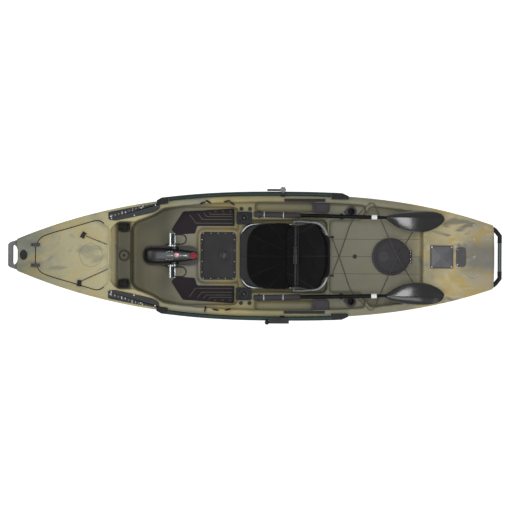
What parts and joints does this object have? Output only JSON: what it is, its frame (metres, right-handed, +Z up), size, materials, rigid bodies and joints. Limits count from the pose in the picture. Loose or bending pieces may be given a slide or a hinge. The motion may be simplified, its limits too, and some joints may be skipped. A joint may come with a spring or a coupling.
{
  "type": "pedal fishing kayak",
  "caption": "Sit-on-top fishing kayak with a pedal fin drive, lifting seat, hatches, side rails, paddle halves and a steerable rudder.",
  "frame": {"origin": "on the flat of the keel, midway between the ends of the moulded hull", "axes": "+X aft along the boat, +Y starboard, +Z up"},
  "size_m": [3.662, 1.0229, 1.0417],
  "materials": {
    "hull_camo": "rotomoulded polyethylene with an olive, khaki and grey camouflage swirl, satin",
    "dark_moulding": "injection moulded dark grey nylon, fine texture",
    "black_moulding": "black moulded plastic, fine texture",
    "foam_pad": "closed-cell foam deck pad with routed grooves",
    "rail_metal": "dark green-black anodised aluminium tube",
    "bright_metal": "bright anodised aluminium",
    "steel": "stainless steel pins and screws",
    "seat_mesh": "black woven seat mesh over foam",
    "red_plastic": "red moulded knob",
    "fin_rubber": "flexible black fin",
    "blade_plastic": "glossy black paddle blade",
    "cord": "elastic cord in a woven sleeve",
    "seal_rubber": "soft black gasket"
  },
  "bodies": {
    "hull": {"hull_shell": "hull_camo", "deck_shell": "hull_camo", "bow_handle": "dark_moulding", "plugs": "black_moulding", "hatch_hinge_blocks": "dark_moulding", "ledge_pockets": "black_moulding", "mast_socket": "hull_camo", "gear_boards": "dark_moulding", "side_rails": "rail_metal", "rail_ends": "black_moulding", "rail_clamps": "black_moulding", "foot_pads": "foam_pad", "centre_hatch_frame": "black_moulding", "centre_hatch_bin": "dark_moulding", "drive_spine": "black_moulding", "pedal_shaft": "steel", "steering_bases": "black_moulding", "mesh_pouches": "dark_moulding", "gunwale_strips": "dark_moulding", "rod_holders": "dark_moulding", "paddle_clips": "black_moulding", "rear_hatch_ring": "dark_moulding", "pad_eyes": "black_moulding", "cargo_bungees": "cord", "aft_panels": "dark_moulding", "pins_and_fasteners": "steel", "stern_handle": "black_moulding", "stern_grip": "rail_metal", "rudder_bearing": "dark_moulding"},
    "bow_lid": {"bow_hatch_lid": "hull_camo", "bow_hatch_seal": "seal_rubber", "bow_hatch_straps": "dark_moulding", "bow_hatch_latches": "black_moulding", "bow_hatch_cords": "cord"},
    "centre_lid": {"centre_hatch_lid": "black_moulding"},
    "centre_latch": {"centre_hatch_latch": "dark_moulding"},
    "rear_lid": {"rear_hatch_lid": "dark_moulding"},
    "rear_knob": {"rear_hatch_knob": "dark_moulding"},
    "turntable": {"drive_turntable": "black_moulding", "fin_shaft": "steel"},
    "fore_fin": {"fin_fore": "fin_rubber"},
    "aft_fin": {"fin_aft": "fin_rubber"},
    "starboard_pedal": {"pedal_arm_starboard": "bright_metal", "pedal_starboard": "black_moulding"},
    "port_pedal": {"pedal_arm_port": "bright_metal", "pedal_port": "black_moulding"},
    "release_knob": {"drive_knob": "red_plastic"},
    "starboard_steering": {"steering_knob_starboard": "dark_moulding"},
    "port_steering": {"steering_knob_port": "dark_moulding"},
    "seat": {"seat_frame": "bright_metal", "seat_crossbar": "rail_metal", "seat_base": "seat_mesh"},
    "backrest": {"seat_back_frame": "bright_metal", "seat_back": "seat_mesh", "seat_buckle": "dark_moulding"},
    "starboard_paddle": {"paddle_starboard": "blade_plastic"},
    "port_paddle": {"paddle_port": "blade_plastic"},
    "clamp_screw": {"clamp_knob": "bright_metal"},
    "rudder": {"rudder_stock": "black_moulding"},
    "rudder_fin": {"rudder_blade": "black_moulding"}
  },
  "joints": [
    {"name": "bow_hatch_hinge", "type": "hinge", "parent": "hull", "child": "bow_lid", "pos_m": [-1.645, 0, 0.44479], "axis": [0, -1, 0], "range_deg": [0, 95]},
    {"name": "centre_hatch_hinge", "type": "hinge", "parent": "hull", "child": "centre_lid", "pos_m": [-0.409, 0, 0.199], "axis": [0, -1, 0], "range_deg": [0, 100]},
    {"name": "centre_latch_turn", "type": "hinge", "parent": "centre_lid", "child": "centre_latch", "pos_m": [-0.242, 0, 0.199], "axis": [0, 0, 1], "range_deg": [0, 90]},
    {"name": "rear_hatch_hinge", "type": "hinge", "parent": "hull", "child": "rear_lid", "pos_m": [1.164, 0, 0.255], "axis": [0, 1, 0], "range_deg": [0, 100], "deforming": ["cargo_bungees"]},
    {"name": "rear_knob_turn", "type": "hinge", "parent": "rear_lid", "child": "rear_knob", "pos_m": [0.961, 0, 0.255], "axis": [0, 0, 1], "range_deg": [0, 90]},
    {"name": "starboard_steering_turn", "type": "hinge", "parent": "hull", "child": "starboard_steering", "pos_m": [-0.087, 0.283, 0.298], "axis": [0, 0, 1], "continuous": true},
    {"name": "drive_turn", "type": "hinge", "parent": "hull", "child": "turntable", "pos_m": [-0.64, 0, 0], "axis": [0, 0, 1], "continuous": true},
    {"name": "fore_fin_swing", "type": "hinge", "parent": "turntable", "child": "fore_fin", "pos_m": [-0.702, 0, -0.038], "axis": [1, 0, 0], "range_deg": [-76, 76]},
    {"name": "aft_fin_swing", "type": "hinge", "parent": "turntable", "child": "aft_fin", "pos_m": [-0.578, 0, -0.038], "axis": [1, 0, 0], "range_deg": [-76, 76]},
    {"name": "starboard_pedal_swing", "type": "hinge", "parent": "hull", "child": "starboard_pedal", "pos_m": [-0.616, 0.074, 0.186], "axis": [0, 1, 0], "range_deg": [-22, 22]},
    {"name": "port_pedal_swing", "type": "hinge", "parent": "hull", "child": "port_pedal", "pos_m": [-0.616, -0.074, 0.186], "axis": [0, 1, 0], "range_deg": [-22, 22]},
    {"name": "release_knob_turn", "type": "hinge", "parent": "hull", "child": "release_knob", "pos_m": [-0.468, 0, 0.222], "axis": [0, 0, 1], "range_deg": [0, 90]},
    {"name": "port_steering_turn", "type": "hinge", "parent": "hull", "child": "port_steering", "pos_m": [-0.087, -0.283, 0.298], "axis": [0, 0, 1], "range_deg": [-45, 45]},
    {"name": "rudder_steer", "type": "hinge", "parent": "hull", "child": "rudder", "pos_m": [1.59, 0, 0.044], "axis": [0, 0, 1], "range_deg": [-45, 45]},
    {"name": "rudder_kick_up", "type": "hinge", "parent": "rudder", "child": "rudder_fin", "pos_m": [1.59, 0, -0.004], "axis": [0, -1, 0], "range_deg": [0, 80]},
    {"name": "seat_lift", "type": "slide", "parent": "hull", "child": "seat", "axis": [0, 0, 1], "range_m": [0, 0.09]},
    {"name": "backrest_fold", "type": "hinge", "parent": "seat", "child": "backrest", "pos_m": [0.29, 0, 0.338], "axis": [0, 1, 0], "range_deg": [-117, 0]},
    {"name": "starboard_paddle_lift", "type": "slide", "parent": "hull", "child": "starboard_paddle", "axis": [0, 0, 1], "range_m": [0, 0.12]},
    {"name": "port_paddle_lift", "type": "slide", "parent": "hull", "child": "port_paddle", "axis": [0, 0, 1], "range_m": [0, 0.12]},
    {"name": "clamp_screw_turn", "type": "hinge", "parent": "hull", "child": "clamp_screw", "pos_m": [0.2, 0.492, 0.386], "axis": [0, 0, 1], "continuous": true}
  ],
  "couplings": [
    {"joint": "drive_turn", "follows": "starboard_steering_turn", "ratio": 1},
    {"joint": "port_pedal_swing", "follows": "starboard_pedal_swing", "ratio": -1},
    {"joint": "fore_fin_swing", "follows": "starboard_pedal_swing", "ratio": 3.4},
    {"joint": "aft_fin_swing", "follows": "starboard_pedal_swing", "ratio": -3.4},
    {"joint": "rudder_steer", "follows": "port_steering_turn", "ratio": 1}
  ]
}
